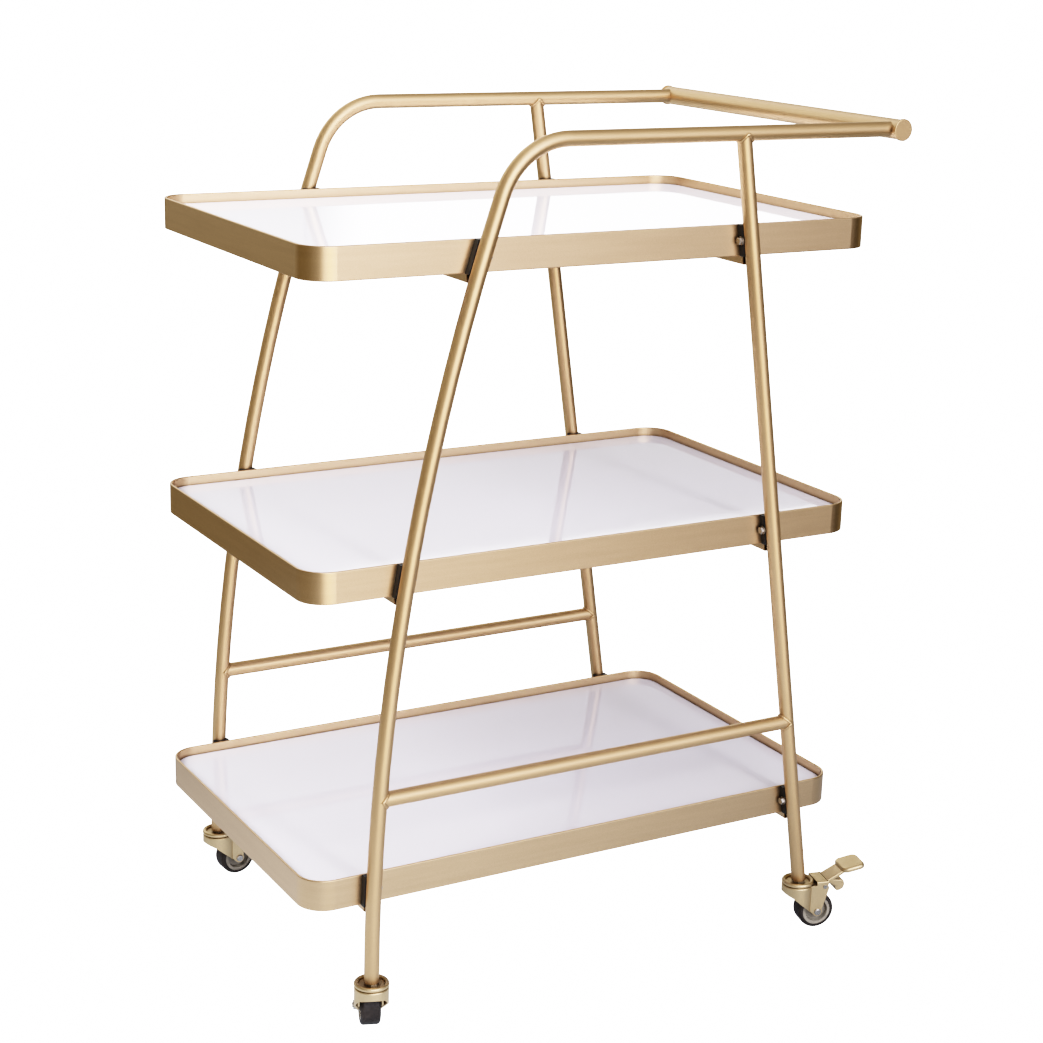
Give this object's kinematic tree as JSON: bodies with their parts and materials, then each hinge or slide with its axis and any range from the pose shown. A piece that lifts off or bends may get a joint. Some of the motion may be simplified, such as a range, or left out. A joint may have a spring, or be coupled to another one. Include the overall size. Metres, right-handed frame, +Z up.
{
  "type": "bar cart",
  "caption": "Tiered bar cart with a gold tube frame, white panels in shallow trays, a push handle and swivel casters with foot brakes at the rear.",
  "frame": {"origin": "floor point under the middle of the whole cart's outline", "axes": "+Z up, +X toward the push handle at the rear, +Y to the right of someone who pushes from the handle, who faces -X"},
  "size_m": [0.645, 0.4574, 0.8662],
  "materials": {
    "gold_paint": "satin champagne gold metallic paint",
    "white_glass": "glossy, opaque white backing",
    "black_nylon": "matt moulded",
    "black_rubber": "matt tread",
    "grey_plastic": "moulded",
    "zinc": "zinc plated",
    "clear_pad": "soft, milky"
  },
  "bodies": {
    "frame": {"left_leg_rail_tube": "gold_paint", "right_leg_rail_tube": "gold_paint", "left_rear_leg": "gold_paint", "right_rear_leg": "gold_paint", "left_stretcher": "gold_paint", "right_stretcher": "gold_paint", "handle_bar": "gold_paint", "handle_end_caps": "gold_paint", "handle_bolts": "gold_paint", "rail_end_inserts": "zinc", "top_tray_rim": "gold_paint", "middle_tray_rim": "gold_paint", "lower_tray_rim": "gold_paint", "top_tray_ledge": "gold_paint", "middle_tray_ledge": "gold_paint", "lower_tray_ledge": "gold_paint", "top_panel": "white_glass", "middle_panel": "white_glass", "lower_panel": "white_glass", "panel_pads": "clear_pad", "top_cross_bars": "gold_paint", "middle_cross_bars": "gold_paint", "lower_cross_bars": "gold_paint", "tray_clips": "black_nylon", "clip_screws": "zinc", "tray_bolts": "zinc", "leg_bushes": "zinc", "leg_foot_plugs": "black_nylon", "caster_stems": "zinc", "caster_top_cups": "gold_paint", "swivel_washers": "black_nylon"},
    "left_front_caster": {"left_front_fork": "gold_paint", "left_front_axle": "zinc"},
    "left_front_wheel": {"left_front_tyre": "black_rubber", "left_front_hub": "grey_plastic"},
    "right_front_caster": {"right_front_fork": "gold_paint", "right_front_axle": "zinc"},
    "right_front_wheel": {"right_front_tyre": "black_rubber", "right_front_hub": "grey_plastic"},
    "left_rear_caster": {"left_rear_fork": "gold_paint", "left_rear_axle": "zinc", "left_rear_brake_housing": "gold_paint", "left_rear_brake_pin": "zinc", "left_rear_brake_spring": "zinc"},
    "left_rear_wheel": {"left_rear_tyre": "black_rubber", "left_rear_hub": "grey_plastic"},
    "left_rear_pedal": {"left_rear_brake_pedal": "gold_paint"},
    "right_rear_caster": {"right_rear_fork": "gold_paint", "right_rear_axle": "zinc", "right_rear_brake_housing": "gold_paint", "right_rear_brake_pin": "zinc", "right_rear_brake_spring": "zinc"},
    "right_rear_wheel": {"right_rear_tyre": "black_rubber", "right_rear_hub": "grey_plastic"},
    "right_rear_pedal": {"right_rear_brake_pedal": "gold_paint"}
  },
  "joints": [
    {"name": "left_front_swivel", "type": "hinge", "parent": "frame", "child": "left_front_caster", "pos_m": [-0.26077, -0.198, 0.0502], "axis": [0, 0, 1], "continuous": true},
    {"name": "left_front_roll", "type": "hinge", "parent": "left_front_caster", "child": "left_front_wheel", "pos_m": [-0.25393, -0.17921, 0.02], "axis": [-0.9397, 0.342, 0], "continuous": true},
    {"name": "right_front_swivel", "type": "hinge", "parent": "frame", "child": "right_front_caster", "pos_m": [-0.26077, 0.198, 0.0502], "axis": [0, 0, 1], "continuous": true},
    {"name": "right_front_roll", "type": "hinge", "parent": "right_front_caster", "child": "right_front_wheel", "pos_m": [-0.24082, 0.19939, 0.02], "axis": [-0.0698, 0.9976, 0], "continuous": true},
    {"name": "left_rear_swivel", "type": "hinge", "parent": "frame", "child": "left_rear_caster", "pos_m": [0.24951, -0.198, 0.0502], "axis": [0, 0, 1], "continuous": true},
    {"name": "left_rear_roll", "type": "hinge", "parent": "left_rear_caster", "child": "left_rear_wheel", "pos_m": [0.26892, -0.20284, 0.02], "axis": [0.2419, 0.9703, 0], "continuous": true},
    {"name": "left_rear_brake", "type": "hinge", "parent": "left_rear_caster", "child": "left_rear_pedal", "pos_m": [0.27571, -0.20453, 0.049], "axis": [0.2419, 0.9703, 0], "range_deg": [0, 18]},
    {"name": "right_rear_swivel", "type": "hinge", "parent": "frame", "child": "right_rear_caster", "pos_m": [0.24951, 0.198, 0.0502], "axis": [0, 0, 1], "continuous": true},
    {"name": "right_rear_roll", "type": "hinge", "parent": "right_rear_caster", "child": "right_rear_wheel", "pos_m": [0.26892, 0.20284, 0.02], "axis": [-0.2419, 0.9703, 0], "continuous": true},
    {"name": "right_rear_brake", "type": "hinge", "parent": "right_rear_caster", "child": "right_rear_pedal", "pos_m": [0.27571, 0.20453, 0.049], "axis": [-0.2419, 0.9703, 0], "range_deg": [0, 18]}
  ]
}
